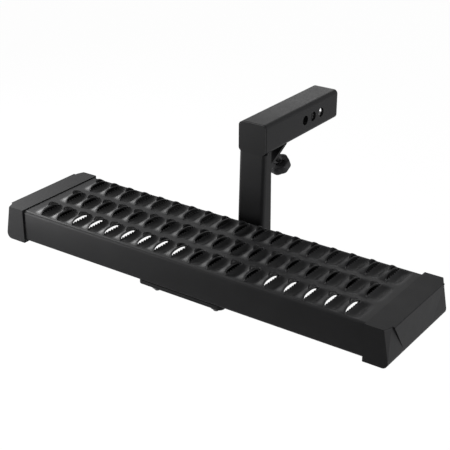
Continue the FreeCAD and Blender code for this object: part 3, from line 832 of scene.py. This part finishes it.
    def build(self, finish: bpy.types.Material) -> bpy.types.Object:
        """Builds the plank in its place.

        Args:
            finish: Its coating.

        Returns:
            The plank.
        """
        sheet = self._grating()
        self._fold(sheet)
        apply_modifier(sheet, "SOLIDIFY", thickness=self.gauge * MM, offset=-1.0)
        cutter = self._holes()
        apply_modifier(sheet, "BOOLEAN", object=cutter, operation="DIFFERENCE", solver="EXACT")
        bpy.data.objects.remove(cutter, do_unlink=True)
        sheet.location = [value * MM for value in self.middle]
        settle(sheet)
        bpy.ops.object.shade_smooth_by_angle(angle=math.radians(self.smooth_below))
        sheet.name = "grating_plank"
        dress(sheet, finish)
        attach(sheet, "step")
        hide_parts("tread_plank")
        LOG.info("tread plank: %d faces", len(sheet.data.polygons))
        return sheet


@dataclass
class ClampKnob:
    """The lobed grip of the clamp: shallow flutes, rounded rims, a collar and a dished crown.

    Sizes are in millimetres. The gusset's run and drop give the slant of the grip's axis.
    """

    gusset_run: float = 52.0
    gusset_drop: float = 29.2
    radius: float = 19.0
    flutes: int = 7
    points_per_flute: int = 12
    flute_scale: float = 0.986
    rounding: float = 3.2
    rounding_steps: int = 4
    collar_inset: float = 9.0
    collar_height: float = 2.0
    dish_inset: float = 6.0
    dish_depth: float = 1.2
    smooth_below: float = 40.0

    def _blank(self, thickness: float) -> bpy.types.Object:
        """The fluted grip without its collar, its axis along Z.

        Args:
            thickness: The height of the grip in metres.

        Returns:
            The grip, in edit mode.
        """
        rest_all()
        bpy.ops.mesh.primitive_cylinder_add(
            vertices=self.flutes * self.points_per_flute, radius=self.radius * MM, depth=thickness)
        grip = bpy.context.object
        bpy.ops.object.mode_set(mode="EDIT")
        pitch = math.tau / self.flutes
        for reach in range(self.points_per_flute // 3, -1, -1):
            width = (reach + 0.5) * pitch / self.points_per_flute
            pick_vertices(grip, lambda place: abs(
                math.remainder(math.atan2(place.y, place.x), pitch)) < width)
            bpy.ops.transform.resize(value=(self.flute_scale, self.flute_scale, 1.0),
                                     center_override=(0.0, 0.0, 0.0))
        half = thickness / 2
        pick_edges(grip, lambda a, b: close(a.z, b.z) and close(abs(a.z), half))
        bpy.ops.mesh.bevel(offset=self.rounding * MM, segments=self.rounding_steps,
                           profile=0.5)
        return grip

    def _pick_end(self, grip: bpy.types.Object, up: float) -> None:
        """Selects the flat end face that looks along +Z or -Z.

        Args:
            grip: The grip, in edit mode.
            up: 1 for the upper face, -1 for the lower one.
        """
        bpy.ops.mesh.select_mode(type="FACE")
        bpy.ops.mesh.select_all(action="DESELECT")
        mesh = bmesh.from_edit_mesh(grip.data)
        max(mesh.faces, key=lambda face: face.calc_center_median().z * up).select = True
        bmesh.update_edit_mesh(grip.data)

    def build(self, head: bpy.types.Object, finish: bpy.types.Material) -> bpy.types.Object:
        """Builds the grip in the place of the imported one.

        Args:
            head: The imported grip, which gives the place and the thickness.
            finish: Its plastic.

        Returns:
            The grip.
        """
        axis = Vector((0.0, -self.gusset_drop, self.gusset_run)).normalized()
        places = [vertex.co for vertex in head.data.vertices]
        middle = sum(places, Vector()) / len(places)
        along = [(place - middle).dot(axis) for place in places]
        collar = self.collar_height * MM
        thickness = max(along) - min(along) - collar
        grip = self._blank(thickness)
        for up, inset, rise in ((1.0, self.collar_inset, self.collar_height),
                                (-1.0, self.dish_inset, -self.dish_depth)):
            self._pick_end(grip, up)
            bpy.ops.mesh.inset(thickness=inset * MM)
            bpy.ops.mesh.extrude_region_move(
                TRANSFORM_OT_translate={"value": (0.0, 0.0, up * rise * MM)})
        bpy.ops.object.mode_set(mode="OBJECT")
        grip.rotation_mode = "QUATERNION"
        grip.rotation_quaternion = Vector((0.0, 0.0, 1.0)).rotation_difference(axis)
        grip.location = middle + axis * (min(along) + thickness / 2)
        settle(grip)
        bpy.ops.object.shade_smooth_by_angle(angle=math.radians(self.smooth_below))
        grip.name = "fluted_grip"
        dress(grip, finish)
        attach(grip, "knob")
        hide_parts("knob_head")
        LOG.info("clamp knob: %d faces", len(grip.data.polygons))
        return grip


@dataclass(frozen=True)
class SoftBox:
    """A square lamp: its place and width in metres and its power in watts."""

    name: str
    place: Place
    width: float
    power: float


@dataclass
class Studio:
    """Camera, lamps, floor and background of the product picture, in metres and degrees."""

    camera_place: Place = (0.9066, -1.51553, 0.6158)
    camera_turn: Place = (64.84, 0.0, 35.35)
    lens: float = 87.84
    sensor: float = 36.0
    shift: tuple[float, float] = (0.013, 0.0035)
    floor_drop: float = 0.62
    floor_size: float = 14.0
    floor_grey: float = 0.85
    floor_glow: float = 0.98
    fill: float = 0.16
    target: Place = (0.0, -0.2, -0.1)
    boxes: tuple[SoftBox, ...] = (
        SoftBox("key_lamp", (-1.9, 0.1, 0.75), 0.8, 92.0),
        SoftBox("front_lamp", (-0.75, -0.75, -0.1), 0.35, 11.0),
        SoftBox("right_lamp", (1.9, -0.1, 0.2), 0.9, 46.0),
        SoftBox("back_lamp", (-0.7, 1.4, 0.6), 0.5, 2.5),
        SoftBox("edge_lamp", (-0.9, -0.95, 1.1), 0.25, 3.0))

    def _aim(self, thing: bpy.types.Object) -> None:
        """Points a lamp at the step.

        Args:
            thing: The lamp.
        """
        line = Vector(self.target) - thing.location
        thing.rotation_euler = line.to_track_quat("-Z", "Y").to_euler()

    def _lamp(self, box: SoftBox) -> None:
        """Adds one soft box.

        Args:
            box: Its name, place, width and power.
        """
        bpy.ops.object.light_add(type="AREA", location=box.place)
        lamp = bpy.context.object
        lamp.name = box.name
        lamp.data.shape = "RECTANGLE"
        lamp.data.size = box.width
        lamp.data.size_y = box.width
        lamp.data.energy = box.power
        self._aim(lamp)

    def _floor(self) -> None:
        """Lays the pale floor, which keeps the step's soft shadow."""
        rest_all()
        bpy.ops.mesh.primitive_plane_add(size=self.floor_size, location=(0, 0, -self.floor_drop))
        floor = bpy.context.object
        floor.name = "floor"
        graph = Graph("floor_white")
        seen = graph.seen_directly()
        grey = self.floor_grey
        matte = graph.node("ShaderNodeBsdfDiffuse", Color=(grey, grey, grey, 1.0))
        glow = graph.node("ShaderNodeEmission", Color=(1.0, 1.0, 1.0, 1.0), Strength=1.0)
        share = seen * self.floor_glow
        mixed = graph.node("ShaderNodeMixShader")
        feed(graph.tree, mixed.inputs[0], share)
        feed(graph.tree, mixed.inputs[1], matte.outputs[0])
        feed(graph.tree, mixed.inputs[2], glow.outputs[0])
        graph.node("ShaderNodeOutputMaterial", Surface=mixed.outputs[0])
        dress(floor, graph.material)

    def _world(self) -> None:
        """Makes the background white where it is seen, and soft fill light elsewhere."""
        world = bpy.data.worlds.new("studio_world")
        bpy.context.scene.world = world
        world.use_nodes = True
        graph = Graph.of_tree(world.node_tree)
        seen = graph.seen_directly()
        strength = seen * (1.0 - self.fill) + self.fill
        shine = graph.node("ShaderNodeBackground", Color=(1.0, 1.0, 1.0, 1.0), Strength=strength)
        graph.node("ShaderNodeOutputWorld", Surface=shine.outputs[0])

    def build(self) -> None:
        """Sets up the studio."""
        scene = bpy.context.scene
        scene.view_settings.view_transform = "Standard"
        bpy.ops.object.camera_add(location=self.camera_place)
        camera = bpy.context.object
        camera.rotation_euler = [math.radians(turn) for turn in self.camera_turn]
        camera.data.sensor_width = self.sensor
        camera.data.lens = self.lens
        camera.data.shift_x, camera.data.shift_y = self.shift
        scene.camera = camera
        for box in self.boxes:
            self._lamp(box)
        self._floor()
        self._world()
        LOG.info("studio ready")


@dataclass
class KeptNodes:
    """The pieces that are shown as they were built, each in its own finish."""

    coat: tuple[str, ...] = ("mounting_plate", "plate_rib_right", "plate_rib_left",
                             "drop_channel", "receiver_shank", "shank_end_plate",
                             "corner_gusset", "gusset_nut")
    weld: tuple[str, ...] = ("rib_welds", "foot_weld", "elbow_weld", "gusset_weld",
                             "end_plate_weld")
    cap: tuple[str, ...] = ("end_cap_right", "end_cap_left")
    black: tuple[str, ...] = ("cap_screws", "plank_bolts", "plank_washers", "plank_nuts")
    steel: tuple[str, ...] = ("knob_stud", "knob_washer")

    def dress(self, nodes: dict[str, bpy.types.Object], materials: Materials) -> None:
        """Gives each kept piece its finish.

        Args:
            nodes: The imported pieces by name.
            materials: The material of each finish.
        """
        for names, finish in ((self.coat, Finish.COAT), (self.weld, Finish.WELD),
                              (self.cap, Finish.CAP), (self.black, Finish.BLACK_STEEL),
                              (self.steel, Finish.DARK_STEEL)):
            for name in names:
                dress(nodes[name], materials[finish])
                LOG.info("dressed %s", name)


def main() -> None:
    """Builds the dressed step and its studio."""
    logging.basicConfig(level=logging.INFO, format="%(message)s")
    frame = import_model()
    materials = {finish: finish.value.make() for finish in Finish}
    KeptNodes().dress(frame["nodes"], materials)
    TreadPlank().build(materials[Finish.COAT])
    ClampKnob().build(frame["nodes"]["knob_head"], materials[Finish.KNOB])
    Studio().build()


if __name__ == "__main__":
    main()
